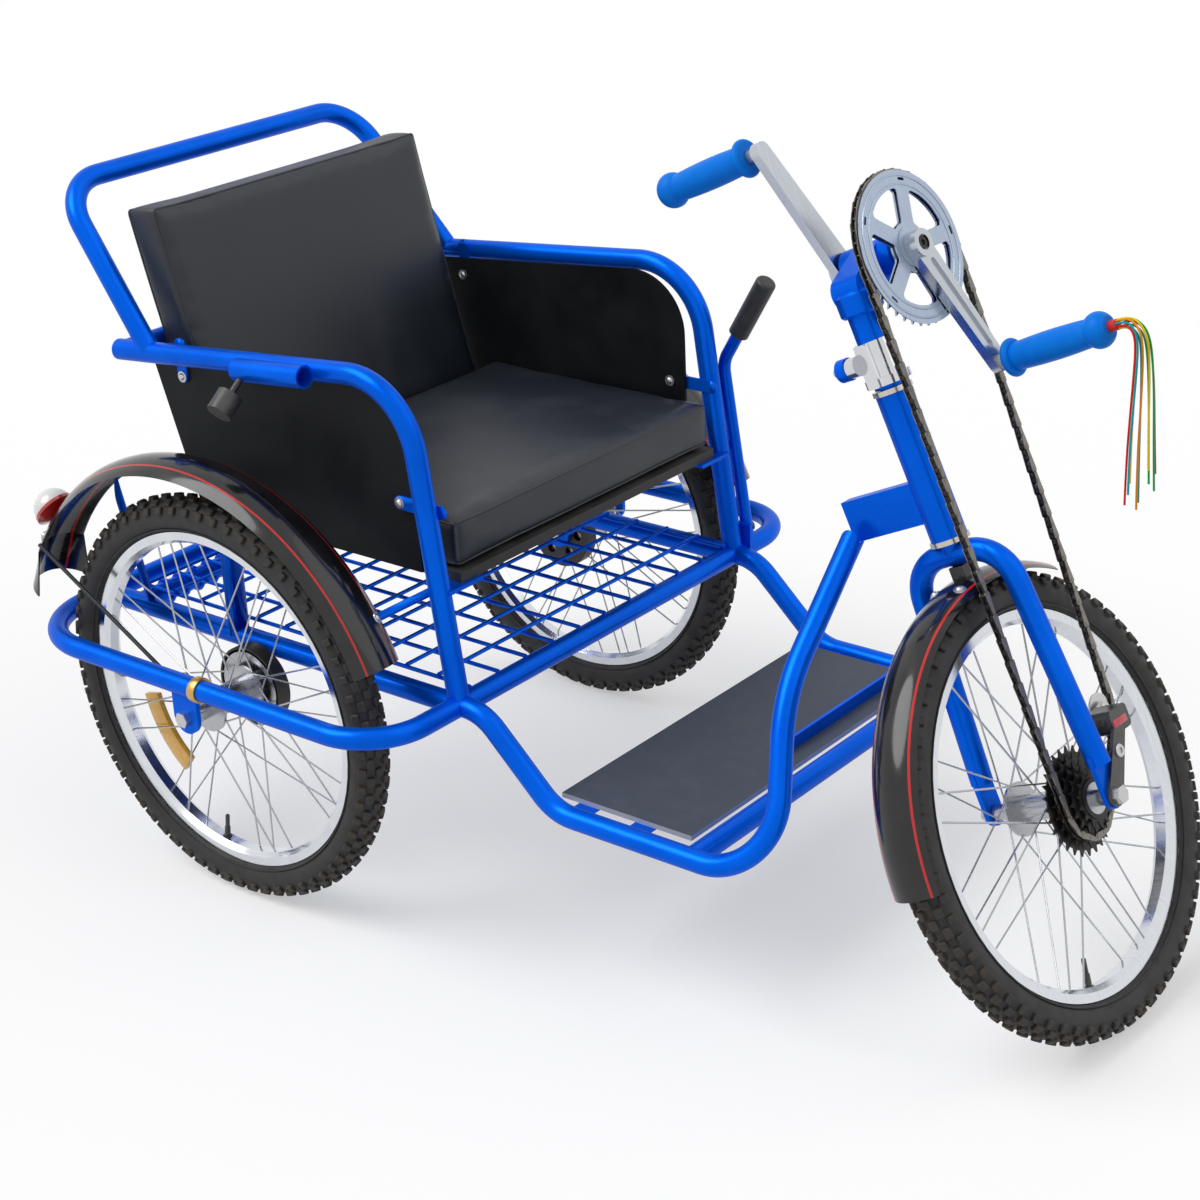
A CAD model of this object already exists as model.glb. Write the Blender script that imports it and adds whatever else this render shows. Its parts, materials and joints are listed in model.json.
import json
import math

import bpy
from mathutils import Matrix, Vector

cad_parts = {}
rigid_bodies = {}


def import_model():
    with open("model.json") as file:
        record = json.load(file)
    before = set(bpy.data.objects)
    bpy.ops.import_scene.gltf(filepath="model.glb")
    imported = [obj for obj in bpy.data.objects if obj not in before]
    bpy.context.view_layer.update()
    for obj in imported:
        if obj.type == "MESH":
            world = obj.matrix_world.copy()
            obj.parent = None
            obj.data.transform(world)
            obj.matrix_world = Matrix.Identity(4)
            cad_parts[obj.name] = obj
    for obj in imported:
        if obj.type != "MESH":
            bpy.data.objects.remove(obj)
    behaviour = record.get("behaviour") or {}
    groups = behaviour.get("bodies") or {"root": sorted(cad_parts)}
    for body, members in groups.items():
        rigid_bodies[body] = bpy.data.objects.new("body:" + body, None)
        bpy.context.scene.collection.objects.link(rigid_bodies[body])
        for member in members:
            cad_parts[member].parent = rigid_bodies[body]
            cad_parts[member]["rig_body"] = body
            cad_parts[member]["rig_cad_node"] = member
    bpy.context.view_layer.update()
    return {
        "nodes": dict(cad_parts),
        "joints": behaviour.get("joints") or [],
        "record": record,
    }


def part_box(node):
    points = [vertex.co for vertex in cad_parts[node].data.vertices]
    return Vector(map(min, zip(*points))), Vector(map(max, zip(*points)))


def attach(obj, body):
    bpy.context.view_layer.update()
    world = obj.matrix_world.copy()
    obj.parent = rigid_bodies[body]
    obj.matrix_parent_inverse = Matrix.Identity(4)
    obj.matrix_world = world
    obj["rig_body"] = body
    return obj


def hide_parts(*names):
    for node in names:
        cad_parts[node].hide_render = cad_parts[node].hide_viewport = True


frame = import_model()
nodes = frame["nodes"]
joints = {joint["name"]: joint for joint in frame["joints"]}
print("frame loaded,", len(nodes), "nodes")


def jointSpot(name):
    return Vector(joints[name]["pos_m"])


# Places that the pieces are set out from
axleAxis = Vector(joints["front_wheel_spin"]["axis"])
steerAxis = Vector(joints["steering"]["axis"])
steerPlace = Matrix((axleAxis.cross(steerAxis), axleAxis, steerAxis)).transposed().to_4x4()
steerTurn = steerPlace.to_3x3()
steerPlace.translation = jointSpot("front_wheel_spin")
rightPlace = Matrix.Translation(jointSpot("rear_wheel_right_spin"))
leftPlace = Matrix.Translation(jointSpot("rear_wheel_left_spin"))
wheelPlaces = {"rear_wheel_right": rightPlace, "rear_wheel_left": leftPlace, "front_wheel": steerPlace}
crankSpot = jointSpot("crank_spin")
rearAxle = Vector((rightPlace.translation.x, 0, 0))
# Turn that lays a primitive's own axis along Y
alongY = (math.pi / 2, 0, 0)

# Working helpers: how far apart doubled points may lie, and the crease angles that stay sharp, in degrees
weld = {"solid": 0.00002, "model": 0.00001}
crease = {"flat": 30, "turned": 40, "round": 60, "soft": 80}


def deselectAll():
    if bpy.context.object and bpy.context.object.mode == "EDIT":
        leaveEdit()
    bpy.ops.object.select_all(action="DESELECT")


def pick(piece):
    deselectAll()
    bpy.context.view_layer.objects.active = piece
    piece.select_set(True)


def editAll():
    bpy.ops.object.mode_set(mode="EDIT")
    bpy.ops.mesh.select_all(action="SELECT")


def leaveEdit():
    bpy.ops.object.mode_set(mode="OBJECT")


# Moves the points that pass the test, and stays in edit mode
def moveChosen(piece, isChosen, move):
    for vertex in piece.data.vertices:
        vertex.select = isChosen(vertex.co)
    bpy.ops.object.mode_set(mode="EDIT")
    bpy.ops.transform.translate(value=move)


def named(name):
    piece = bpy.context.object
    piece.name = name
    piece.data.name = name
    return piece


def settle(piece, place=Matrix.Identity(4)):
    bpy.context.view_layer.update()
    piece.matrix_world = place @ piece.matrix_world
    pick(piece)
    bpy.ops.object.transform_apply(location=True, rotation=True, scale=True)
    return piece


def twinOf(piece, name, place):
    twin = piece.copy()
    twin.data = piece.data.copy()
    twin.name = name
    twin.data.name = name
    twin.data.transform(place)
    bpy.context.scene.collection.objects.link(twin)
    return twin


# A free copy of a solid's mesh with its finish, merged into one skin
def copyOfNode(name, nodeName):
    piece = twinOf(nodes[nodeName], name, Matrix.Identity(4))
    piece.parent = None
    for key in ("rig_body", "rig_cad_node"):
        if key in piece:
            del piece[key]
    pick(piece)
    editAll()
    bpy.ops.mesh.remove_doubles(threshold=weld["solid"])
    leaveEdit()
    return piece


def joinedAs(name, parts):
    deselectAll()
    for part in parts:
        part.select_set(True)
    bpy.context.view_layer.objects.active = parts[0]
    if len(parts) > 1:
        bpy.ops.object.join()
    return named(name)


def addModifier(piece, kind, **values):
    modifier = piece.modifiers.new(kind.lower(), kind)
    for name, value in values.items():
        setattr(modifier, name, value)
    return modifier


def applyModifiers(piece):
    pick(piece)
    for modifier in list(piece.modifiers):
        bpy.ops.object.modifier_apply(modifier=modifier.name)


def smoothed(piece, form):
    pick(piece)
    bpy.ops.object.shade_smooth_by_angle(angle=math.radians(crease[form]))
    return piece


def removePieces(*pieces):
    for piece in pieces:
        bpy.data.objects.remove(piece)


# A profile of (radius, height) points spun round Z, drawn by extruding one vertex
def spunOf(name, profile, steps):
    deselectAll()
    bpy.ops.mesh.primitive_plane_add(size=0.001)
    piece = named(name)
    editAll()
    bpy.ops.mesh.merge(type="CENTER")
    bpy.ops.mesh.select_all(action="SELECT")
    bpy.ops.transform.translate(value=(profile[0][0], 0, profile[0][1]))
    for (radius, height), (nextRadius, nextHeight) in zip(profile, profile[1:]):
        step = (nextRadius - radius, 0, nextHeight - height)
        bpy.ops.mesh.extrude_region_move(TRANSFORM_OT_translate={"value": step})
    bpy.ops.mesh.select_all(action="SELECT")
    bpy.ops.mesh.spin(steps=steps, angle=2 * math.pi, center=(0, 0, 0), axis=(0, 0, 1))
    bpy.ops.mesh.select_all(action="SELECT")
    bpy.ops.mesh.remove_doubles(threshold=weld["model"])
    bpy.ops.mesh.normals_make_consistent(inside=False)
    leaveEdit()
    return smoothed(piece, "turned")


def torusOf(name, ring, thickness, around, section, **place):
    deselectAll()
    bpy.ops.mesh.primitive_torus_add(
        major_radius=ring, minor_radius=thickness, major_segments=around, minor_segments=section, **place)
    return named(name)


def blockOf(name, size):
    deselectAll()
    bpy.ops.mesh.primitive_cube_add(size=1.0)
    piece = named(name)
    piece.scale = size
    return settle(piece)


# A round cord through the given points
def cordOf(name, kind, points, radius, roundness):
    curve = bpy.data.curves.new(name, "CURVE")
    curve.dimensions = "3D"
    curve.bevel_depth = radius
    curve.bevel_resolution = roundness
    spline = curve.splines.new(kind)
    spline.points.add(len(points) - 1)
    for point, place in zip(spline.points, points):
        point.co = (*place, 1)
    cord = bpy.data.objects.new(name, curve)
    bpy.context.scene.collection.objects.link(cord)
    return cord, spline


# Gives a piece two materials and all its faces the one at the index
def paintFaces(piece, materials, index):
    for material in materials:
        piece.data.materials.append(material)
    for face in piece.data.polygons:
        face.material_index = index


# Out from a wheel's axle at an angle in degrees
def outwards(angle):
    return Vector((math.cos(math.radians(angle)), 0, math.sin(math.radians(angle))))


# Z of the piece goes along the given direction, its origin to the given point
def aimed(point, direction):
    return Matrix.Translation(point) @ Vector(direction).to_track_quat("Z", "Y").to_matrix().to_4x4()


# A piece without materials gets the finish of its slot where none is given
def dress(piece, body, slot, material=None, *replaced):
    if material or not piece.data.materials:
        piece.data.materials.clear()
        piece.data.materials.append(material or finishes[slot])
    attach(piece, body)
    if replaced:
        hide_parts(*replaced)


# Shader node groups for the effects that several finishes share

def newGroup(name, inputs, outputs):
    group = bpy.data.node_groups.new(name, "ShaderNodeTree")
    for label, value in inputs.items():
        kind = "Color" if isinstance(value, tuple) else "Float"
        socket = group.interface.new_socket(label, in_out="INPUT", socket_type=f"NodeSocket{kind}")
        socket.default_value = value
    for label, kind in outputs.items():
        group.interface.new_socket(label, in_out="OUTPUT", socket_type=f"NodeSocket{kind}")
    return group, group.nodes.new("NodeGroupInput").outputs, group.nodes.new("NodeGroupOutput")


# Sets sockets, by label or number, to values or links them to other sockets
def feed(tree, node, values):
    for label, value in values.items():
        socket = node.inputs[label]
        if isinstance(value, bpy.types.NodeSocket):
            tree.links.new(value, socket)
        else:
            socket.default_value = (*value, 1) if socket.type == "RGBA" else value


def newNode(tree, kind, values):
    node = tree.nodes.new(f"ShaderNode{kind}")
    feed(tree, node, values)
    return node


def mathNode(tree, operation, first, second=0.0):
    node = newNode(tree, "Math", {0: first, 1: second})
    node.operation = operation
    return node.outputs[0]


# The Mix node has its colours at sockets 6 and 7, and gives them out at 2
def mixColour(tree, factor, first, second):
    node = tree.nodes.new("ShaderNodeMix")
    node.data_type = "RGBA"
    feed(tree, node, {0: factor, 6: first, 7: second})
    return node.outputs[2]


def objectPlace(tree):
    return tree.nodes.new("ShaderNodeTexCoord").outputs["Object"]


# How far a vector reaches along one axis, either way
def reachAlong(tree, vector, axis):
    split = newNode(tree, "SeparateXYZ", {"Vector": vector})
    return mathNode(tree, "ABSOLUTE", split.outputs[axis])


def noiseNode(tree, scale, detail, stretch=None):
    place = objectPlace(tree)
    if stretch:
        place = newNode(tree, "Mapping", {"Scale": stretch, "Vector": place}).outputs["Vector"]
    return newNode(tree, "TexNoise", {"Detail": detail, "Vector": place, "Scale": scale}).outputs["Fac"]


def rampNode(tree, value, low, high):
    return newNode(tree, "MapRange", {"From Min": low, "From Max": high, "Value": value}).outputs["Result"]


# Detail of the noises, range of the blotches, and stretch of the drawn lines
effects = {"blotchDetail": 8.0, "blotch": (0.42, 0.72), "grainDetail": 3.0, "lineDetail": 6.0,
           "lines": (1.0, 14.0, 1.0)}


# Dust and handling marks: blotches that tint the colour and dull the gloss
def makeDustFilm():
    group, enter, leave = newGroup(
        "dustFilm",
        {"Color": (0.5, 0.5, 0.5, 1), "Dust": (0.4, 0.36, 0.3, 1), "Roughness": 0.4, "Scale": 20.0,
         "Amount": 0.2, "Dulling": 0.2},
        {"Color": "Color", "Roughness": "Float"},
    )
    cloud = noiseNode(group, enter["Scale"], effects["blotchDetail"])
    blotch = rampNode(group, cloud, *effects["blotch"])
    mask = mathNode(group, "MULTIPLY", blotch, enter["Amount"])
    dull = mathNode(group, "MULTIPLY", blotch, enter["Dulling"])
    feed(group, leave, {"Color": mixColour(group, mask, enter["Color"], enter["Dust"]),
                        "Roughness": mathNode(group, "ADD", enter["Roughness"], dull)})
    return group


# Fine pebble grain as a height
def makeFineGrain():
    group, enter, leave = newGroup(
        "fineGrain",
        {"Scale": 700.0, "Softness": 0.5},
        {"Height": "Float"},
    )
    cell = newNode(group, "TexVoronoi", {"Vector": objectPlace(group), "Scale": enter["Scale"]})
    pebble = mathNode(group, "MULTIPLY", cell.outputs["Distance"], enter["Softness"])
    cloud = noiseNode(group, enter["Scale"], effects["grainDetail"])
    feed(group, leave, {"Height": mathNode(group, "ADD", pebble, cloud)})
    return group


# Fine lines of a drawn or turned metal, as a mask
def makeDrawnLines():
    group, enter, leave = newGroup(
        "drawnLines",
        {"Scale": 60.0, "Roughness": 0.2, "Spread": 0.15},
        {"Roughness": "Float", "Mask": "Float"},
    )
    line = noiseNode(group, enter["Scale"], effects["lineDetail"], effects["lines"])
    spread = mathNode(group, "MULTIPLY", line, enter["Spread"])
    rough = mathNode(group, "ADD", enter["Roughness"], spread)
    feed(group, leave, {"Roughness": rough, "Mask": line})
    return group


dustFilm = makeDustFilm()
fineGrain = makeFineGrain()
drawnLines = makeDrawnLines()
print("shared effects ready")


def placedGroup(tree, group, **values):
    node = tree.nodes.new("ShaderNodeGroup")
    node.node_tree = group
    feed(tree, node, {label.capitalize(): value for label, value in values.items()})
    return node


def newFinish(name, roughness, metallic=0.0, coat=0.0, coatRoughness=0.05, specular=0.5):
    material = bpy.data.materials.new(name)
    material.use_nodes = True
    tree = material.node_tree
    shader = tree.nodes["Principled BSDF"]
    feed(tree, shader, {"Roughness": roughness, "Metallic": metallic, "Coat Weight": coat,
                        "Coat Roughness": coatRoughness, "Specular IOR Level": specular})
    return material, tree, shader


def addBump(tree, shader, height, strength, distance):
    bump = newNode(tree, "Bump", {"Strength": strength, "Distance": distance, "Height": height})
    feed(tree, shader, {"Normal": bump.outputs["Normal"]})


def addGrain(tree, shader, scale, strength, depth):
    pebble = placedGroup(tree, fineGrain, scale=scale)
    addBump(tree, shader, pebble.outputs["Height"], strength, depth)


def addFilm(tree, shader, colour, dust, **values):
    film = placedGroup(tree, dustFilm, color=colour, dust=dust, **values)
    feed(tree, shader, {"Base Color": film.outputs["Color"], "Roughness": film.outputs["Roughness"]})
    return film.outputs["Color"]


# A finish with dust blotches, and a grain where one is given as (scale, strength, depth)
def dustyFinish(name, colour, roughness, dust, scale, amount, dulling=0.15, grain=None, **shaderValues):
    material, tree, shader = newFinish(name, roughness, **shaderValues)
    addFilm(tree, shader, colour, dust, roughness=roughness, scale=scale, amount=amount, dulling=dulling)
    if grain:
        addGrain(tree, shader, *grain)
    return material


def metalFinish(name, colour, shade, roughness, spread, scale=60.0):
    material, tree, shader = newFinish(name, roughness, metallic=1.0)
    lines = placedGroup(tree, drawnLines, scale=scale, roughness=roughness, spread=spread)
    feed(tree, shader, {"Base Color": mixColour(tree, lines.outputs["Mask"], shade, colour),
                        "Roughness": lines.outputs["Roughness"]})
    return material


# Blue lacquer: a metallic base under a clear coat, with fine flake
bluePaint = {
    "deep": (0.0004, 0.085, 0.62), "bright": (0.0008, 0.155, 0.97), "blend": (0.3, 0.7),
    "shader": {"roughness": 0.3, "metallic": 0.45, "coat": 0.05, "coatRoughness": 0.04, "specular": 0.0},
    # noises as scale and detail
    "flake": (1400.0, 2.0), "cloud": (9.0, 4.0), "peel": (260.0, 2.0), "flakeShare": 0.5,
    "gloss": 0.24, "glossSpread": 0.1, "peelBump": (0.04, 0.0005),
    "wire": (0.05, 0.055, 0.06), "wireSide": 0.35,
}


# Past wireSide from the middle plane the rods are bare dark wire
def makeBluePaint(name, wireSide=None):
    material, tree, shader = newFinish(name, **bluePaint["shader"])
    flake = mathNode(tree, "MULTIPLY", noiseNode(tree, *bluePaint["flake"]), bluePaint["flakeShare"])
    cloud = noiseNode(tree, *bluePaint["cloud"])
    blend = mathNode(tree, "ADD", flake, mathNode(tree, "MULTIPLY", cloud, 1 - bluePaint["flakeShare"]))
    shade = rampNode(tree, blend, *bluePaint["blend"])
    colour = mixColour(tree, shade, bluePaint["deep"], bluePaint["bright"])
    if wireSide:
        bare = mathNode(tree, "GREATER_THAN", reachAlong(tree, objectPlace(tree), "Y"), wireSide)
        colour = mixColour(tree, bare, colour, bluePaint["wire"])
    dulling = mathNode(tree, "MULTIPLY", cloud, bluePaint["glossSpread"])
    rough = mathNode(tree, "ADD", dulling, bluePaint["gloss"])
    feed(tree, shader, {"Base Color": colour, "Roughness": rough})
    addBump(tree, shader, noiseNode(tree, *bluePaint["peel"]), *bluePaint["peelBump"])
    return material


# Rubber mat: dark and pebbled on its faces, with the pale cut edge of its board round the sides
mat = {"face": (0.058, 0.07, 0.095), "dust": (0.1, 0.112, 0.135), "edge": (0.52, 0.52, 0.5), "flatness": 0.5,
       "shader": {"roughness": 0.62, "specular": 0.3}, "grain": (1100.0, 0.35, 0.0008),
       "film": {"roughness": 0.6, "scale": 60.0, "amount": 0.4, "dulling": 0.1}}


def makeMatRubber():
    material, tree, shader = newFinish("matRubber", **mat["shader"])
    face = addFilm(tree, shader, mat["face"], mat["dust"], **mat["film"])
    normal = tree.nodes.new("ShaderNodeNewGeometry").outputs["Normal"]
    side = mathNode(tree, "LESS_THAN", reachAlong(tree, normal, "Z"), mat["flatness"])
    feed(tree, shader, {"Base Color": mixColour(tree, side, face, mat["edge"])})
    addGrain(tree, shader, *mat["grain"])
    return material


tan = (0.23, 0.17, 0.1)
grey = (0.35, 0.34, 0.32)
sprocketDust = (0.12, 0.1, 0.08)
finishes = {
    # dusty: name, colour, roughness, dust, blotch scale, dust amount, dulling, grain
    # metal: name, colour, shade, roughness, spread of the roughness, line scale
    "frame_blue": makeBluePaint("blueLacquer"),
    "panel_black": dustyFinish("panelBlack", (0.007, 0.008, 0.01), 0.4, grey, 14.0, 0.015, 0.2,
        (900.0, 0.08, 0.0004), specular=0.14),
    "cushion_black": dustyFinish("leatherette", (0.009, 0.013, 0.02), 0.36, (0.03, 0.036, 0.045), 10.0, 0.16,
        0.12, (850.0, 0.2, 0.0004), specular=0.5),
    "seat_board": dustyFinish("seatBoard", (0.02, 0.018, 0.017), 0.6, grey, 24.0, 0.08),
    "mat_rubber": makeMatRubber(),
    "tyre_black": dustyFinish("tyreRubber", (0.016, 0.016, 0.017), 0.6, tan, 55.0, 0.05, 0.2,
        (700.0, 0.2, 0.0005)),
    "rim_alloy": metalFinish("rimAlloy", (0.74, 0.76, 0.79), (0.58, 0.6, 0.64), 0.1, 0.12, 40.0),
    "spoke_steel": metalFinish("spokeSteel", (0.5, 0.51, 0.54), (0.36, 0.37, 0.39), 0.18, 0.16, 60.0),
    "axle_steel": metalFinish("axleSteel", (0.66, 0.66, 0.67), (0.42, 0.41, 0.4), 0.24, 0.2, 90.0),
    "brake_black": dustyFinish("brakeBlack", (0.022, 0.022, 0.024), 0.4, tan, 40.0, 0.14, metallic=0.3),
    "lamp_white": dustyFinish("lampWhite", (0.82, 0.82, 0.8), 0.22, grey, 30.0, 0.1, coat=0.6),
    "lamp_red": dustyFinish("lampRed", (0.52, 0.012, 0.012), 0.16, (0.3, 0.02, 0.02), 40.0, 0.3, coat=1.0),
    "knob_black": dustyFinish("knobBlack", (0.028, 0.028, 0.03), 0.34, grey, 50.0, 0.12),
    "lever_rubber": dustyFinish("leverRubber", (0.02, 0.02, 0.022), 0.5, grey, 40.0, 0.1, 0.15,
        (900.0, 0.15, 0.0004)),
    "grip_blue": dustyFinish("gripBlue", (0.0005, 0.2, 0.84), 0.4, (0.001, 0.27, 0.92), 70.0, 0.4, 0.12,
        (1000.0, 0.2, 0.0004), specular=0.12),
    "crank_alloy": metalFinish("crankAlloy", (0.56, 0.59, 0.63), (0.44, 0.47, 0.51), 0.16, 0.12, 40.0),
    "ring_steel": metalFinish("ringSteel", (0.42, 0.49, 0.6), (0.34, 0.4, 0.5), 0.22, 0.12, 40.0),
    "chain_steel": dustyFinish("chainSteel", (0.028, 0.026, 0.025), 0.34, sprocketDust, 160.0, 0.3, 0.2,
        metallic=0.6),
    "sprocket_black": dustyFinish("sprocketBlack", (0.03, 0.03, 0.031), 0.34, sprocketDust, 60.0, 0.25, 0.2,
        metallic=0.7),
    "headset_chrome": metalFinish("headsetPlate", (0.66, 0.63, 0.57), (0.46, 0.42, 0.35), 0.12, 0.16),
    "gear_black": dustyFinish("gearBlack", (0.02, 0.02, 0.022), 0.3, grey, 60.0, 0.1, coat=0.4),
    "shifter_chrome": metalFinish("clampPlate", (0.7, 0.71, 0.73), (0.56, 0.57, 0.6), 0.06, 0.1, 40.0),
    "plug_red": dustyFinish("plugRed", (0.66, 0.015, 0.012), 0.3, (0.4, 0.02, 0.02), 60.0, 0.3),
    "streamer_mix": dustyFinish("streamerOrange", (0.85, 0.2, 0.02), 0.3, (0.9, 0.5, 0.2), 60.0, 0.3),
}


# Gloss black mudguard enamel with a red pinstripe, measured along the wheel's axle from its middle
pinstripe = {
    "offset": 0.0235, "halfWidth": 0.0011, "red": (0.62, 0.015, 0.012), "black": (0.006, 0.006, 0.008),
    "shader": {"roughness": 0.16, "coat": 0.3, "coatRoughness": 0.03, "specular": 0.35},
    "dust": (0.05, 0.05, 0.052), "film": {"roughness": 0.13, "scale": 22.0, "amount": 0.15, "dulling": 0.12},
}


def makeFenderEnamel(name, place):
    material, tree, shader = newFinish(name, **pinstripe["shader"])
    back = place.inverted()
    mapping = newNode(tree, "Mapping", {"Location": back.translation, "Rotation": back.to_euler(),
                                        "Vector": objectPlace(tree)})
    away = reachAlong(tree, mapping.outputs["Vector"], "Y")
    gap = mathNode(tree, "ABSOLUTE", mathNode(tree, "SUBTRACT", away, pinstripe["offset"]))
    line = mathNode(tree, "LESS_THAN", gap, pinstripe["halfWidth"])
    enamel = addFilm(tree, shader, pinstripe["black"], pinstripe["dust"], **pinstripe["film"])
    feed(tree, shader, {"Base Color": mixColour(tree, line, enamel, pinstripe["red"])})
    return material


finishes["fender_black"] = makeFenderEnamel("fenderEnamelRight", rightPlace)
ownFinishes = {
    "rear_fender_right": finishes["fender_black"],
    "rear_fender_left": makeFenderEnamel("fenderEnamelLeft", leftPlace),
    "front_fender": makeFenderEnamel("fenderEnamelFront", steerPlace),
    "fender_carriers": makeBluePaint("carrierLacquer", bluePaint["wireSide"]),
}
print("finishes ready,", len(finishes))

# Every solid that stays gets its finish
slots = {part["node"]: part["material_slot"] for part in frame["record"]["subparts"]}
for nodeName, node in nodes.items():
    node.data.materials.clear()
    node.data.materials.append(ownFinishes.get(nodeName, finishes[slots[nodeName]]))
print("solids dressed")


# Camera at the photograph's view, floor, lamps and world
view = {"azimuth": 39.52, "elevation": 23.43, "roll": -2.7, "distance": 2.916, "lens": 72.62, "sensor": 36.0,
        "target": (0.2905, 0.0109, 0.3205)}


def makeCamera():
    azimuth, elevation, roll = (math.radians(view[key]) for key in ("azimuth", "elevation", "roll"))
    back = Vector((math.sin(azimuth) * math.cos(elevation), -math.cos(azimuth) * math.cos(elevation),
                   math.sin(elevation)))
    right = (-back).cross(Vector((0, 0, 1))).normalized()
    up = right.cross(-back)
    turnedRight = right * math.cos(roll) + up * math.sin(roll)
    turnedUp = up * math.cos(roll) - right * math.sin(roll)
    place = Matrix((turnedRight, turnedUp, back)).transposed().to_4x4()
    place.translation = rearAxle + Vector(view["target"]) + back * view["distance"]
    deselectAll()
    bpy.ops.object.camera_add()
    camera = bpy.context.object
    camera.matrix_world = place
    camera.data.lens = view["lens"]
    camera.data.sensor_width = view["sensor"]
    bpy.context.scene.camera = camera


studio = {"floorSize": 60.0, "floorColour": (0.6, 0.6, 0.6), "floorGlow": 0.44, "floorRoughness": 0.9,
          "floorSpecular": 0.1, "worldLight": 0.37, "worldShown": 1.0,
          # soft suns: where the light comes from, strength, spread in degrees
          "suns": (((-0.45, -0.5, 0.85), 1.75, 40.0), ((0.7, 0.3, 0.75), 0.5, 60.0))}


# One for rays from the camera, and for those that metal and glass send on
def shownToViewer(tree):
    ray = tree.nodes.new("ShaderNodeLightPath")
    shown = mathNode(tree, "MAXIMUM", ray.outputs["Is Camera Ray"], ray.outputs["Is Glossy Ray"])
    return mathNode(tree, "MAXIMUM", shown, ray.outputs["Is Transmission Ray"])


def makeStudio():
    deselectAll()
    bpy.ops.mesh.primitive_plane_add(size=studio["floorSize"])
    floor = named("studioFloor")
    material, tree, shader = newFinish("paleFloor", studio["floorRoughness"],
                                       specular=studio["floorSpecular"])
    glow = mathNode(tree, "MULTIPLY", shownToViewer(tree), studio["floorGlow"])
    feed(tree, shader, {"Base Color": studio["floorColour"], "Emission Color": (1, 1, 1),
                        "Emission Strength": glow})
    floor.data.materials.append(material)
    for source, strength, spread in studio["suns"]:
        bpy.ops.object.light_add(type="SUN")
        lamp = bpy.context.object
        lamp.data.energy = strength
        lamp.data.angle = math.radians(spread)
        lamp.rotation_euler = (-Vector(source)).to_track_quat("-Z", "Y").to_euler()
    world = bpy.data.worlds.new("paleRoom")
    bpy.context.scene.world = world
    world.use_nodes = True
    tree = world.node_tree
    extra = mathNode(tree, "MULTIPLY", shownToViewer(tree), studio["worldShown"] - studio["worldLight"])
    strength = mathNode(tree, "ADD", extra, studio["worldLight"])
    feed(tree, tree.nodes["Background"], {"Color": (1, 1, 1), "Strength": strength})
    bpy.context.scene.view_settings.view_transform = "Standard"


makeCamera()
makeStudio()
print("camera and studio set")


# Tassel: coloured foil streamers that hang from the plug in the right grip
tassel = {
    "diameter": 0.0024, "reach": 0.024, "lift": 0.005, "seat": 0.0047, "gap": 0.00525,
    "roundness": 2, "order": 3, "resolution": 6, "sheenGain": 1.3, "sheenLift": 0.05,
    "roughness": 0.4, "blotchScale": 90.0, "sheenAmount": 0.3, "specular": 0.15,
    "drops": (0.158, 0.176, 0.148, 0.184, 0.162, 0.172, 0.152, 0.18, 0.166),
    "spreads": (0.026, 0.02, 0.005, -0.013, -0.025, -0.025, -0.013, 0.005, 0.02),
    "colours": ((0.86, 0.01, 0.01), (0.01, 0.42, 0.1), (0.95, 0.72, 0.02), (0.95, 0.3, 0.01),
                (0.0, 0.36, 0.4), (0.86, 0.01, 0.01), (0.95, 0.74, 0.04), (0.0, 0.3, 0.34),
                (0.02, 0.44, 0.09)),
    # out along the machine, side share, height in reaches, share of the drop
    "points": ((0.45, 0.03, 0.19, 0.0), (0.84, 0.14, 0.02, 0.0), (1.08, 0.26, -0.32, 0.0),
               (1.2, 0.38, -0.3, 0.08), (1.26, 0.52, -0.3, 0.2), (1.3, 0.72, -0.3, 0.42),
               (1.31, 0.9, -0.3, 0.72), (1.38, 1.0, -0.3, 1.0)),
}


def splineLength(streamer):
    bare = streamer.copy()
    bare.data = streamer.data.copy()
    bare.data.bevel_depth = 0.0
    bare.data.use_fill_caps = False
    bpy.context.scene.collection.objects.link(bare)
    line = bpy.data.meshes.new_from_object(bare.evaluated_get(bpy.context.evaluated_depsgraph_get()))
    points = [vertex.co.copy() for vertex in line.vertices]
    removePieces(bare)
    bpy.data.meshes.remove(line)
    return sum((after - before).length for before, after in zip(points, points[1:]))


def makeTassel():
    low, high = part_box("tassel_plug")
    plugOut = -axleAxis
    plugSide = steerTurn @ Vector((1, 0, 0))
    plugUp = plugOut.cross(plugSide)
    plugEnd = (low + high) / 2 + plugOut * tassel["gap"]
    count = len(tassel["drops"])
    for index in range(count):
        turn = 2 * math.pi * index / count
        foot = plugEnd + (plugSide * math.cos(turn) + plugUp * math.sin(turn)) * tassel["seat"]
        reach = tassel["reach"] + tassel["lift"] * math.sin(turn)
        route = [foot]
        for out, side, height, fall in tassel["points"]:
            step = Vector((out * reach, 0, height * reach - fall * tassel["drops"][index]))
            route.append(foot + step + plugSide * side * tassel["spreads"][index])
        streamer, spline = cordOf(f"streamer{index}", "NURBS", route, tassel["diameter"] / 2,
                                  tassel["roundness"])
        spline.order_u = tassel["order"]
        spline.use_endpoint_u = True
        spline.resolution_u = tassel["resolution"]
        streamer.data.use_fill_caps = True
        colour = tassel["colours"][index]
        sheen = tuple(min(1.0, channel * tassel["sheenGain"] + tassel["sheenLift"]) for channel in colour)
        foil = dustyFinish(f"streamerFoil{index}", colour, tassel["roughness"], sheen, tassel["blotchScale"],
                           tassel["sheenAmount"], specular=tassel["specular"])
        dress(streamer, "grip_right_body", "streamer_mix", foil, "tassel_streamers")
        length = splineLength(streamer)


makeTassel()
print("tassel hung")


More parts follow.
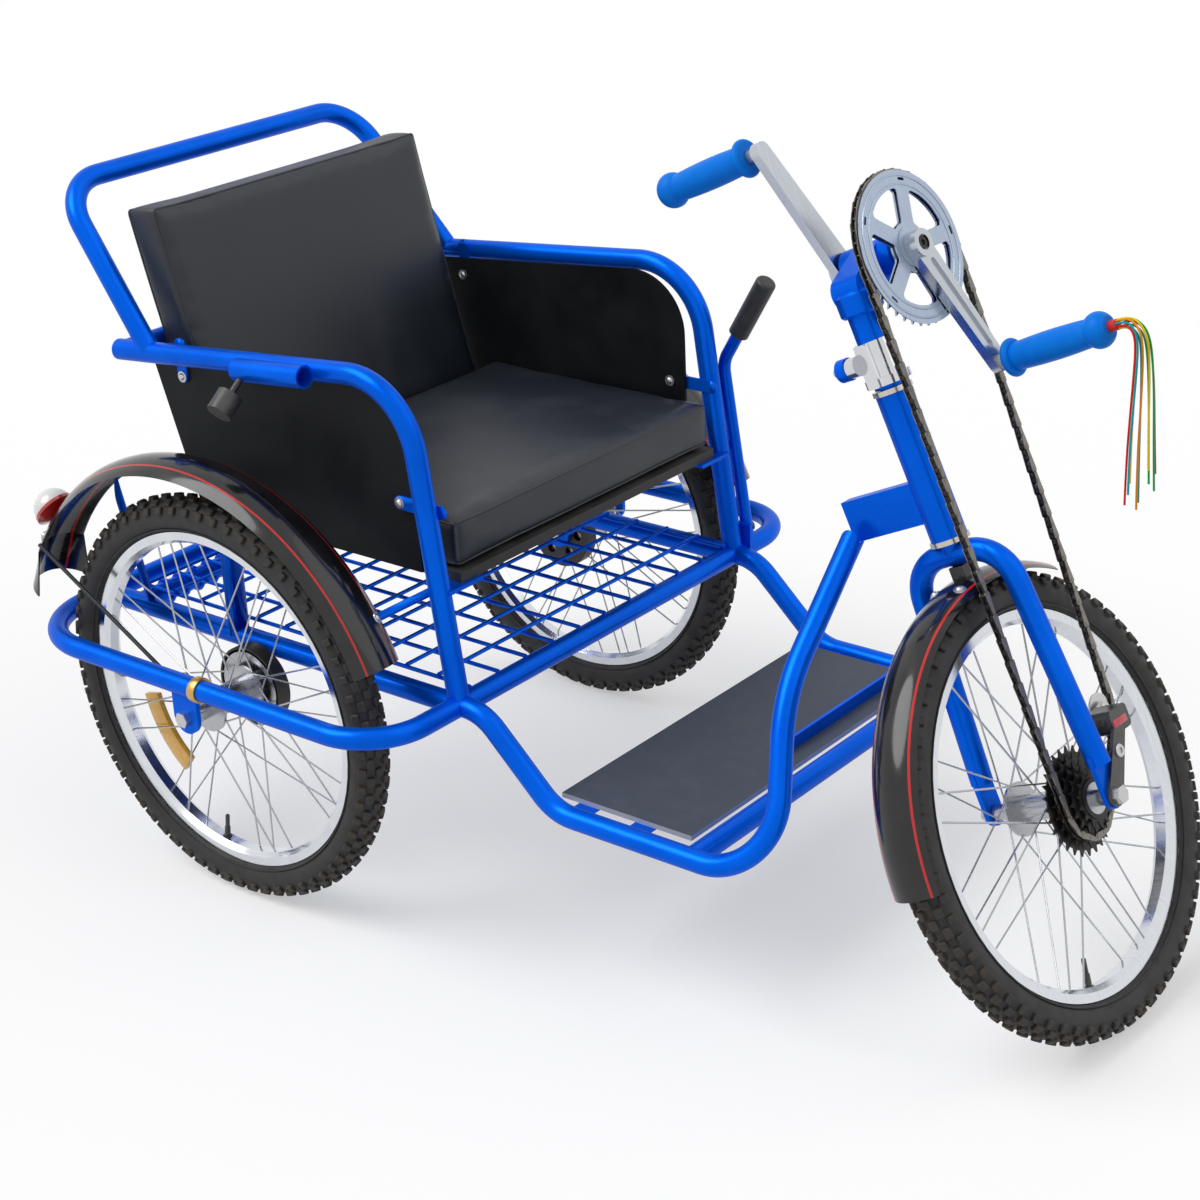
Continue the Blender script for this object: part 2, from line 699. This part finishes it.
# Knobbly tyre: a round casing with rows of blocks, inside the solid tyre's outline
tyre = {
    "ring": 0.229, "casing": 0.0212, "tread": 0.025, "around": 96, "section": 24,
    # rows: angle from the crown in degrees, length, width, phase in half steps
    "rows": ((-13, 0.0105, 0.0085, 0), (13, 0.0105, 0.0085, 1), (-38, 0.0115, 0.0085, 1),
             (38, 0.0115, 0.0085, 0), (-63, 0.0085, 0.0095, 0), (63, 0.0085, 0.0095, 1)),
    "count": 66, "bevel": 0.0011,
    # radius of the ring, thickness, distance from the middle
    "beads": (0.2155, 0.0012, 0.0178), "beadSteps": (72, 6),
}
dustyBlocks = dustyFinish("treadBlocks", (0.02, 0.019, 0.019), 0.64, tan, 70.0, 0.22, 0.2,
                          (700.0, 0.2, 0.0005))


def makeTyre():
    casing = settle(torusOf("casing", tyre["ring"], tyre["casing"], tyre["around"], tyre["section"],
                            rotation=alongY))
    casing.data.materials.append(finishes["tyre_black"])
    smoothed(casing, "round")
    parts = [casing]
    step = 2 * math.pi / tyre["count"]
    for angle, length, width, phase in tyre["rows"]:
        lean = math.radians(angle)
        height = 2 * (tyre["tread"] - tyre["casing"])
        knob = blockOf("knob", (height, width, length))
        editAll()
        bpy.ops.mesh.bevel(offset=tyre["bevel"], segments=1)
        leaveEdit()
        middle = tyre["tread"] - height / 2
        place = Matrix.Translation((tyre["ring"], 0, 0)) @ Matrix.Rotation(lean, 4, "Z")
        place = place @ Matrix.Translation((middle, 0, 0))
        settle(knob, Matrix.Rotation(phase * step / 2, 4, "Y") @ place)
        bpy.ops.object.empty_add()
        turner = bpy.context.object
        turner.rotation_euler = (0, step, 0)
        bpy.context.view_layer.update()
        addModifier(knob, "ARRAY", count=tyre["count"], use_relative_offset=False, use_object_offset=True,
                    offset_object=turner)
        applyModifiers(knob)
        removePieces(turner)
        paintFaces(knob, (finishes["tyre_black"], dustyBlocks), 1)
        parts.append(knob)
    beadRing, beadRadius, beadSide = tyre["beads"]
    for side in (-1, 1):
        bead = settle(torusOf("bead", beadRing, beadRadius, *tyre["beadSteps"], rotation=alongY,
                              location=(0, side * beadSide, 0)))
        bead.data.materials.append(finishes["tyre_black"])
        parts.append(smoothed(bead, "round"))
    return joinedAs("tyreModel", parts)


tyreModel = makeTyre()
for name, (body, place) in zip(("rearTyreRight", "rearTyreLeft", "frontTyre"), wheelPlaces.items()):
    dress(twinOf(tyreModel, name, place), body, "tyre_black", None, body.replace("wheel", "tyre"))
removePieces(tyreModel)
print("tyres made")


# Roller chain on the loop round the ring, the drive sprocket and the pulley, in the steering's frame
chain = {
    "pitch": 0.0127, "side": -0.045, "ringTeeth": 40, "driveTeeth": 20, "pulley": (0.078, 0.072),
    "pulleyRadius": 0.0225, "plateRadius": 0.0042, "plate": 0.0011, "waist": 0.58, "innerSide": 0.00215,
    "outerSide": 0.0033, "rollerRadius": 0.0038, "rollerWidth": 0.0034, "pinRadius": 0.0019,
    "pinWidth": 0.0084, "rivet": 0.0007, "corners": 12, "barrelSides": 10, "near": 0.0001, "arcStep": 0.05,
    "fewestSteps": 4, "slack": 1e-9, "toothRoom": 0.006,
    # metal: colour, shade, roughness, spread, line scale
    "worn": ((0.3, 0.28, 0.25), (0.12, 0.11, 0.1), 0.3, 0.2, 200.0),
}


def makeLinkPlate(side):
    deselectAll()
    bpy.ops.mesh.primitive_cylinder_add(
        vertices=chain["corners"], radius=chain["plateRadius"], depth=chain["plate"], location=(0, side, 0),
        rotation=(math.pi / 2, math.pi / chain["corners"], 0))
    plate = settle(named("linkPlate"))
    editAll()
    bpy.ops.mesh.bisect(plane_co=(0, 0, 0), plane_no=(1, 0, 0))
    leaveEdit()
    moveChosen(plate, lambda spot: spot.x > chain["near"], (chain["pitch"], 0, 0))
    leaveEdit()
    moveChosen(plate, lambda spot: abs(spot.x) < chain["near"], (chain["pitch"] / 2, 0, 0))
    bpy.ops.transform.resize(value=(1, 1, chain["waist"]))
    leaveEdit()
    return plate


def linkPlates(distance):
    return [makeLinkPlate(side * distance) for side in (-1, 1)]


def makeBarrel(name, radius, width, x, side=0.0):
    deselectAll()
    bpy.ops.mesh.primitive_cylinder_add(
        vertices=chain["barrelSides"], radius=radius, depth=width, location=(x, side, 0), rotation=alongY)
    return settle(named(name))


def pitchRadius(teeth):
    return chain["pitch"] / (2 * math.sin(math.pi / teeth))


def chainWheels():
    crank = steerPlace.inverted() @ crankSpot
    return ((Vector((crank.x, crank.z)), pitchRadius(chain["ringTeeth"])),
            (Vector((0, 0)), pitchRadius(chain["driveTeeth"])),
            (Vector(chain["pulley"]), chain["pulleyRadius"]))


def chainLoop(wheels):
    normals = []
    for (centre, radius), (nextCentre, nextRadius) in zip(wheels, wheels[1:] + wheels[:1]):
        along = nextCentre - centre
        cosine = (radius - nextRadius) / along.length
        along.normalize()
        across = Vector((along.y, -along.x))
        normals.append(along * cosine + across * math.sqrt(1 - cosine ** 2))
    path = []
    for index, (centre, radius) in enumerate(wheels):
        first, last = normals[index - 1], normals[index]
        start = math.atan2(first.y, first.x)
        sweep = (math.atan2(last.y, last.x) - start) % (2 * math.pi)
        steps = max(chain["fewestSteps"], int(sweep / chain["arcStep"]))
        for step in range(steps + 1):
            turn = start + sweep * step / steps
            path.append(centre + Vector((math.cos(turn), math.sin(turn))) * radius)
    return path


def pointsAlong(path, pitch):
    closed = path + path[:1]
    total = sum((after - before).length for before, after in zip(closed, closed[1:]))
    count = 2 * round(total / pitch / 2)
    step = total / count
    points, reached, wanted = [], 0.0, 0.0
    for before, after in zip(closed, closed[1:]):
        span = (after - before).length
        while wanted <= reached + span + chain["slack"] and len(points) < count:
            points.append(before.lerp(after, (wanted - reached) / span if span else 0))
            wanted += step
        reached += span
    return points


# Links have pins and rollers on the free runs, and only rivet heads where the teeth pass between their plates
def makeLinks():
    ends = (0, chain["pitch"])
    head = chain["pinWidth"] / 2 - chain["rivet"] / 2
    outerPlates = linkPlates(chain["outerSide"])
    pins = [makeBarrel("pin", chain["pinRadius"], chain["pinWidth"], x) for x in ends]
    outer = joinedAs("outerLink", outerPlates + pins)
    innerPlates = linkPlates(chain["innerSide"])
    rollers = [makeBarrel("roller", chain["rollerRadius"], chain["rollerWidth"], x) for x in ends]
    inner = joinedAs("innerLink", innerPlates + rollers)
    openPlates = linkPlates(chain["outerSide"])
    rivets = [makeBarrel("rivet", chain["pinRadius"], chain["rivet"], x, side * head)
              for x in ends for side in (-1, 1)]
    openOuter = joinedAs("openOuterLink", openPlates + rivets)
    openInner = joinedAs("openInnerLink", linkPlates(chain["innerSide"]))
    wornSteel = metalFinish("wornLinks", *chain["worn"])
    for link, index in ((outer, 1), (openOuter, 1), (inner, 0), (openInner, 0)):
        paintFaces(link, (finishes["chain_steel"], wornSteel), index)
    return (inner, outer), (openInner, openOuter)


def makeChain():
    freeLinks, openLinks = makeLinks()
    wheels = chainWheels()
    pins = pointsAlong(chainLoop(wheels), chain["pitch"])
    links = []
    for index, pin in enumerate(pins):
        nextPin = pins[(index + 1) % len(pins)]
        along = nextPin - pin
        place = Matrix.Translation((pin.x, chain["side"], pin.y))
        place = place @ Matrix.Rotation(-math.atan2(along.y, along.x), 4, "Y")
        onTeeth = any((end - centre).length < radius + chain["toothRoom"]
                      for end in (pin, nextPin) for centre, radius in wheels[:2])
        link = (openLinks if onTeeth else freeLinks)[index % 2]
        links.append(twinOf(link, "link", steerPlace @ place))
    removePieces(*freeLinks, *openLinks)
    whole = smoothed(joinedAs("rollerChain", links), "flat")
    dress(whole, "steering", "chain_steel", None, "chain")


makeChain()
print("chain linked")


# Cushions: foam in tight leatherette, blown up a little by cloth pressure, with a welt along the sewn edges
cushion = {
    "inset": 0.0035, "voxel": 0.006, "pressure": 4.0, "frames": 18, "reach": 0.0055, "quality": 4,
    "stiffness": 20.0, "bending": 2.0, "smoothing": 0.5, "smoothings": 4,
    "welt": 0.0015, "weltRoundness": 1, "corner": 0.014, "runSteps": 14,
    "cornerShares": (0.0, 0.2, 0.4, 0.6, 0.8, 1.0),
    # edges of the back's two faces over the rear axle: foot and head
    "backFaces": (((-0.0625, 0.4465), (-0.161, 0.805)), ((-0.122, 0.4465), (-0.218, 0.797))),
}


def inflate(piece):
    cloth = addModifier(piece, "CLOTH")
    cloth.settings.quality = cushion["quality"]
    cloth.settings.use_pressure = True
    cloth.settings.uniform_pressure_force = cushion["pressure"]
    cloth.settings.effector_weights.gravity = 0.0
    cloth.settings.tension_stiffness = cushion["stiffness"]
    cloth.settings.compression_stiffness = cushion["stiffness"]
    cloth.settings.bending_stiffness = cushion["bending"]
    cloth.point_cache.frame_end = cushion["frames"]
    before = [vertex.co.copy() for vertex in piece.data.vertices]
    for frameNumber in range(1, cushion["frames"] + 1):
        bpy.context.scene.frame_set(frameNumber)
    applyModifiers(piece)
    bpy.context.scene.frame_set(1)
    for vertex, start in zip(piece.data.vertices, before):
        move = vertex.co - start
        if move.length > cushion["reach"]:
            vertex.co = start + move.normalized() * cushion["reach"]


# Piping along the sewn edge between the given corners, laid on the blown-up pad
def makeWelt(pad, corners):
    points = []
    for index, corner in enumerate(corners):
        before, after = corners[index - 1], corners[(index + 1) % len(corners)]
        start = corner + (before - corner).normalized() * cushion["corner"]
        end = corner + (after - corner).normalized() * cushion["corner"]
        points += [start.lerp(corner, share).lerp(corner.lerp(end, share), share)
                   for share in cushion["cornerShares"]]
        stop = after + (corner - after).normalized() * cushion["corner"]
        points += [end.lerp(stop, step / cushion["runSteps"]) for step in range(1, cushion["runSteps"])]
    laid = [pad.closest_point_on_mesh(place)[1] for place in points]
    welt, spline = cordOf("welt", "POLY", laid, cushion["welt"], cushion["weltRoundness"])
    spline.use_cyclic_u = True
    pick(welt)
    bpy.ops.object.convert(target="MESH")
    return smoothed(bpy.context.object, "soft")


def seatEdges():
    low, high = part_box("seat_cushion")
    rounds = ((low.x, low.y), (high.x, low.y), (high.x, high.y), (low.x, high.y))
    return [[Vector((x, y, height)) for x, y in rounds] for height in (high.z, low.z)]


def backEdges():
    low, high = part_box("back_cushion")
    loops = []
    for (footX, footZ), (headX, headZ) in cushion["backFaces"]:
        rounds = ((footX, low.y, footZ), (headX, low.y, headZ),
                  (headX, high.y, headZ), (footX, high.y, footZ))
        loops.append([rearAxle + Vector(corner) for corner in rounds])
    return loops


def makeCushion(name, nodeName, sewnEdges):
    pad = copyOfNode(name, nodeName)
    editAll()
    bpy.ops.transform.shrink_fatten(value=-cushion["inset"])
    leaveEdit()
    pad.data.remesh_voxel_size = cushion["voxel"]
    bpy.ops.object.voxel_remesh()
    inflate(pad)
    addModifier(pad, "SMOOTH", factor=cushion["smoothing"], iterations=cushion["smoothings"])
    addModifier(pad, "SUBSURF", levels=1, render_levels=1)
    applyModifiers(pad)
    smoothed(pad, "soft")
    pad = joinedAs(name, [pad] + [makeWelt(pad, corners) for corners in sewnEdges])
    dress(pad, "frame", "cushion_black", finishes["cushion_black"], nodeName)


makeCushion("seatPad", "seat_cushion", seatEdges())
makeCushion("backPad", "back_cushion", backEdges())
print("cushions blown up")


# Seat supports whose panel tabs end at their tubes: where the far ends start, and how far they draw back
supports = {"frontEnd": 0.3, "frontHeight": (0.505, 0.535), "frontMove": (-0.04, 0, 0),
            "upperEnd": 0.66, "upperMove": (0, 0, -0.0215)}


def moveEnds(piece, isEnd, move):
    pick(piece)
    bpy.ops.object.mode_set(mode="EDIT")
    bpy.ops.mesh.select_all(action="DESELECT")
    leaveEdit()
    moveChosen(piece, lambda spot: isEnd(spot - rearAxle), move)
    leaveEdit()


def makeSupports():
    piece = copyOfNode("seatSupports", "seat_supports")
    low, high = supports["frontHeight"]
    moveEnds(piece, lambda spot: spot.x > supports["frontEnd"] and low < spot.z < high, supports["frontMove"])
    moveEnds(piece, lambda spot: spot.z > supports["upperEnd"], supports["upperMove"])
    dress(smoothed(piece, "flat"), "frame", slots["seat_supports"], None, "seat_supports")


# Fender carriers: the rear struts end short of the fenders in the solids, so their tips are drawn out
struts = {"behind": -0.15, "above": 0.42, "inside": 0.31, "move": (0.0023, 0.0066, 0.025)}


def isStrutTip(spot, side):
    return spot.x < struts["behind"] and spot.z > struts["above"] and 0 < spot.y * side < struts["inside"]


def makeCarriers():
    piece = copyOfNode("fenderCarriers", "fender_carriers")
    x, y, z = struts["move"]
    for side in (-1, 1):
        moveEnds(piece, lambda spot: isStrutTip(spot, side), (x, side * y, z))
    dress(smoothed(piece, "flat"), "frame", slots["fender_carriers"], None, "fender_carriers")


# The point and the outward direction where a ray from the given side meets a solid
def seatOn(nodeName, start, direction):
    hit, place, normal = nodes[nodeName].ray_cast(start, Vector(direction).normalized())[:3]
    if not hit:
        raise ValueError(f"nothing to seat on at {nodeName}")
    return place, normal


# Copies of a model on the given seats, joined into one piece
def seated(name, model, seats):
    return joinedAs(name, [twinOf(model, name, aimed(place, normal)) for place, normal in seats])


# Bolts: a washer under a domed head, and a socket head for the crank
bolt = {
    # radius and height, from the middle of the head to the foot
    "dome": ((0.0, 0.0037), (0.0023, 0.0033), (0.0041, 0.0021), (0.0045, 0.0011), (0.0068, 0.0009),
             (0.0071, -0.0003)),
    "socket": ((0.0, 0.0008), (0.0031, 0.0008), (0.0034, 0.0026), (0.0062, 0.0028), (0.0072, 0.0018),
               (0.0072, -0.0003)),
    "steps": 18, "away": 0.5,
    "panelSpots": ((-0.112, 0.6093), (0.2268, 0.52)), "insideY": 0.2,
    "leverSpot": (0.309, 0.324),
    # angle round the fender's centre, offset towards the middle of the machine
    "rearFenderSpots": ((33.0, 0.024), (125.0, 0.024), (146.0, -0.024)), "rearFenderCentre": (-0.018, 0.24),
    "frontFenderSpots": ((98.0, 0.017), (98.0, -0.017)),
}


def rearSeats():
    seats = []
    fenderX, fenderZ = bolt["rearFenderCentre"]
    for side, name, place in ((-1, "right", rightPlace), (1, "left", leftPlace)):
        for x, z in bolt["panelSpots"]:
            outside = rearAxle + Vector((x, side * bolt["away"], z))
            inside = rearAxle + Vector((x, side * bolt["insideY"], z))
            seats.append(seatOn("seat_supports", outside, (0, -side, 0)))
            seats.append(seatOn(f"side_panel_{name}", inside, (0, side, 0)))
        for angle, inset in bolt["rearFenderSpots"]:
            out = outwards(angle)
            centre = rearAxle + Vector((fenderX, place.translation.y - side * inset, fenderZ))
            start = centre + out * bolt["away"]
            seats.append(seatOn(f"rear_fender_{name}", start, -out))
    x, z = bolt["leverSpot"]
    seats.append(seatOn("brake_lever", rearAxle + Vector((x, bolt["away"], z)), (0, -1, 0)))
    return seats


def frontSeats():
    seats = []
    for angle, offset in bolt["frontFenderSpots"]:
        out = outwards(angle)
        start = steerPlace @ (out * bolt["away"] + Vector((0, offset, 0)))
        seats.append(seatOn("front_fender", start, steerTurn @ -out))
    return seats


def crankSeats():
    seats = [seatOn("crank_spindle", crankSpot + axleAxis * side * bolt["away"], axleAxis * -side)
             for side in (-1, 1)]
    for side, name in ((-1, "right"), (1, "left")):
        eye = jointSpot(f"grip_{name}_spin")
        seats.append(seatOn("grip_pins", eye - axleAxis * side * bolt["away"], axleAxis * side))
    return seats


def makeBolts():
    dome = spunOf("domedBolt", bolt["dome"], bolt["steps"])
    socket = spunOf("socketBolt", bolt["socket"], bolt["steps"])
    dress(seated("frameBolts", dome, rearSeats()), "frame", "axle_steel")
    dress(seated("fenderBolts", dome, frontSeats()), "steering", "axle_steel")
    dress(seated("crankBolts", socket, crankSeats()), "crank", "sprocket_black")
    removePieces(dome, socket)


# Supports and carriers are replaced only after the bolts have found their seats on the solids
makeBolts()
print("bolts seated")
makeSupports()
print("seat supports trimmed")
makeCarriers()
print("fender struts drawn out")

# Stamped beads on the outer face of the chain ring: radius and thickness, steps round and across
ringBeads = {"sizes": ((0.0765, 0.0011), (0.067, 0.0009)), "steps": (64, 8)}


def makeRingBeads():
    beads = []
    for radius, thickness in ringBeads["sizes"]:
        rimSpot = crankSpot + (steerTurn @ Vector((0, 0, 1))) * radius
        face = seatOn("chain_ring", rimSpot - axleAxis * bolt["away"], axleAxis)[0]
        height = (face - crankSpot).dot(-axleAxis)
        bead = torusOf("ringBead", radius, thickness, *ringBeads["steps"])
        beads.append(smoothed(settle(bead, aimed(crankSpot - axleAxis * height, -axleAxis)), "round"))
    dress(joinedAs("ringBeads", beads), "crank", "ring_steel")


makeRingBeads()
print("ring beads stamped")

# Brass clip round the right run of the guard tube: profile of its band, place along the tube
clip = {"profile": ((0.0128, -0.006), (0.0148, -0.006), (0.0155, -0.0045), (0.0155, 0.0045), (0.0148, 0.006),
                    (0.0128, 0.006), (0.0128, -0.006)), "steps": 28, "x": 0.026, "tubeRadius": 0.0127,
        "brass": ((0.72, 0.47, 0.16), (0.5, 0.3, 0.09), 0.25, 0.2, 90.0)}


def makeClip():
    low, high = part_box("guard_tube")
    middle = Vector((rearAxle.x + clip["x"], low.y + clip["tubeRadius"], (low.z + high.z) / 2))
    band = settle(spunOf("guardClip", clip["profile"], clip["steps"]), aimed(middle, (1, 0, 0)))
    dress(band, "frame", "headset_chrome", metalFinish("clipBrass", *clip["brass"]))


makeClip()

# Amber reflector between the spokes of the right rear wheel: a curved bar with raised rims
reflector = {"radius": 0.137, "band": 0.024, "thick": 0.008, "sweep": 42.0, "middle": 213.0, "steps": 12,
             "bevel": 0.0016, "coat": 0.6,
             "amber": ((0.82, 0.42, 0.04), 0.2, (0.9, 0.62, 0.16), 220.0, 0.5, 0.1)}


def makeReflector():
    deselectAll()
    bpy.ops.mesh.primitive_plane_add(size=1.0)
    bar = named("wheelReflector")
    bar.scale = (reflector["band"], reflector["thick"], 1)
    bar.location = (reflector["radius"], 0, 0)
    settle(bar)
    editAll()
    bpy.ops.mesh.spin(steps=reflector["steps"], angle=math.radians(reflector["sweep"]), center=(0, 0, 0),
                      axis=(0, 1, 0))
    bpy.ops.mesh.select_all(action="SELECT")
    bpy.ops.mesh.remove_doubles(threshold=weld["model"])
    bpy.ops.mesh.fill_holes(sides=0)
    bpy.ops.mesh.normals_make_consistent(inside=False)
    leaveEdit()
    addModifier(bar, "BEVEL", width=reflector["bevel"], segments=2, limit_method="ANGLE",
                angle_limit=math.radians(crease["turned"]))
    applyModifiers(bar)
    angles = [math.atan2(vertex.co.z, vertex.co.x) for vertex in bar.data.vertices]
    turn = (min(angles) + max(angles)) / 2 - math.radians(reflector["middle"])
    settle(bar, rightPlace @ Matrix.Rotation(turn, 4, "Y"))
    amber = dustyFinish("amberLens", *reflector["amber"], coat=reflector["coat"])
    dress(smoothed(bar, "turned"), "rear_wheel_right", "lamp_red", amber)


makeReflector()

# Tyre valves, standing in from the rims: profile, rim radius, angle round each wheel
valve = {"profile": ((0.0, 0.03), (0.0022, 0.03), (0.0027, 0.0285), (0.0027, 0.014), (0.0036, 0.013),
                     (0.0036, 0.001), (0.006, 0.0), (0.006, -0.002)), "steps": 12, "ring": 0.1955,
         "angles": {"valveRight": 262.0, "valveLeft": 35.0, "valveFront": 255.0}}


def makeValves():
    model = spunOf("valveStem", valve["profile"], valve["steps"])
    for (name, angle), (body, place) in zip(valve["angles"].items(), wheelPlaces.items()):
        out = outwards(angle)
        stem = twinOf(model, name, place @ aimed(out * valve["ring"], -out))
        dress(stem, body, "knob_black")
    removePieces(model)


makeValves()

# Blue cap and pale button on the free end of the shifter drum, which stands beside the stem
shifterCap = {"drum": (-0.03, 0.512), "capSteps": 28, "buttonSteps": 20,
              "cap": ((0.0, 0.0055), (0.0052, 0.0055), (0.0056, 0.003), (0.0102, 0.0026), (0.0124, 0.0006),
                      (0.0124, -0.011), (0.0111, -0.011)),
              "button": ((0.0, 0.0108), (0.0028, 0.0104), (0.0044, 0.009), (0.0048, 0.0065), (0.0048, 0.005))}


def makeShifterCap():
    drumX, drumZ = shifterCap["drum"]
    start = steerPlace @ Vector((drumX, bolt["away"], drumZ))
    end, normal = seatOn("shifter", start, -axleAxis)
    seat = aimed(end, normal)
    cap = settle(spunOf("shifterCap", shifterCap["cap"], shifterCap["capSteps"]), seat)
    dress(cap, "steering", "frame_blue")
    button = settle(spunOf("shifterButton", shifterCap["button"], shifterCap["buttonSteps"]), seat)
    dress(button, "steering", "lamp_white")


makeShifterCap()

# Red plate and two screws on the gear changer, in the steering's frame: place, size
gearTrim = {"plate": (0.05, 0.064), "size": (0.026, 0.0016, 0.0085), "bevel": 0.0006,
            "red": ((0.62, 0.02, 0.05), 0.25, grey, 80.0, 0.1), "coat": 0.5,
            "screws": ((0.03, 0.038, "derailleur"), (0.078, 0.072, "derailleur_cage"))}


def makeGearTrim():
    plateX, plateZ = gearTrim["plate"]
    face = seatOn("derailleur", steerPlace @ Vector((plateX, -bolt["away"], plateZ)), axleAxis)[0]
    plate = blockOf("gearPlate", gearTrim["size"])
    addModifier(plate, "BEVEL", width=gearTrim["bevel"], segments=2)
    applyModifiers(plate)
    turned = steerPlace.copy()
    turned.translation = face
    settle(plate, turned)
    red = dustyFinish("gearPlateRed", *gearTrim["red"], coat=gearTrim["coat"])
    dress(smoothed(plate, "turned"), "steering", "plug_red", red)
    screw = spunOf("gearScrew", bolt["socket"], bolt["steps"])
    seats = [seatOn(name, steerPlace @ Vector((x, -bolt["away"], z)), axleAxis)
             for x, z, name in gearTrim["screws"]]
    dress(seated("gearScrews", screw, seats), "steering", "axle_steel")
    removePieces(screw)


makeGearTrim()

# Wire ends bent round the rear cross tube of the luggage deck
wireWraps = {"x": -0.228, "wire": 0.0026, "tube": 0.0127, "pitch": 0.0245, "reach": 0.232, "deck": 0.296,
             "hug": 0.7, "steps": (20, 6)}


def makeWireWraps():
    turns = []
    count = int(2 * wireWraps["reach"] / wireWraps["pitch"])
    for index in range(count + 1):
        y = (index - count / 2) * wireWraps["pitch"]
        ring = wireWraps["tube"] + wireWraps["wire"] * wireWraps["hug"]
        wrap = torusOf("wireWrap", ring, wireWraps["wire"], *wireWraps["steps"])
        spot = rearAxle + Vector((wireWraps["x"], y, wireWraps["deck"]))
        turns.append(smoothed(settle(wrap, aimed(spot, (0, 1, 0))), "round"))
    dress(joinedAs("wireWraps", turns), "frame", "frame_blue")


makeWireWraps()
print("small fittings placed")


print("sizes written")
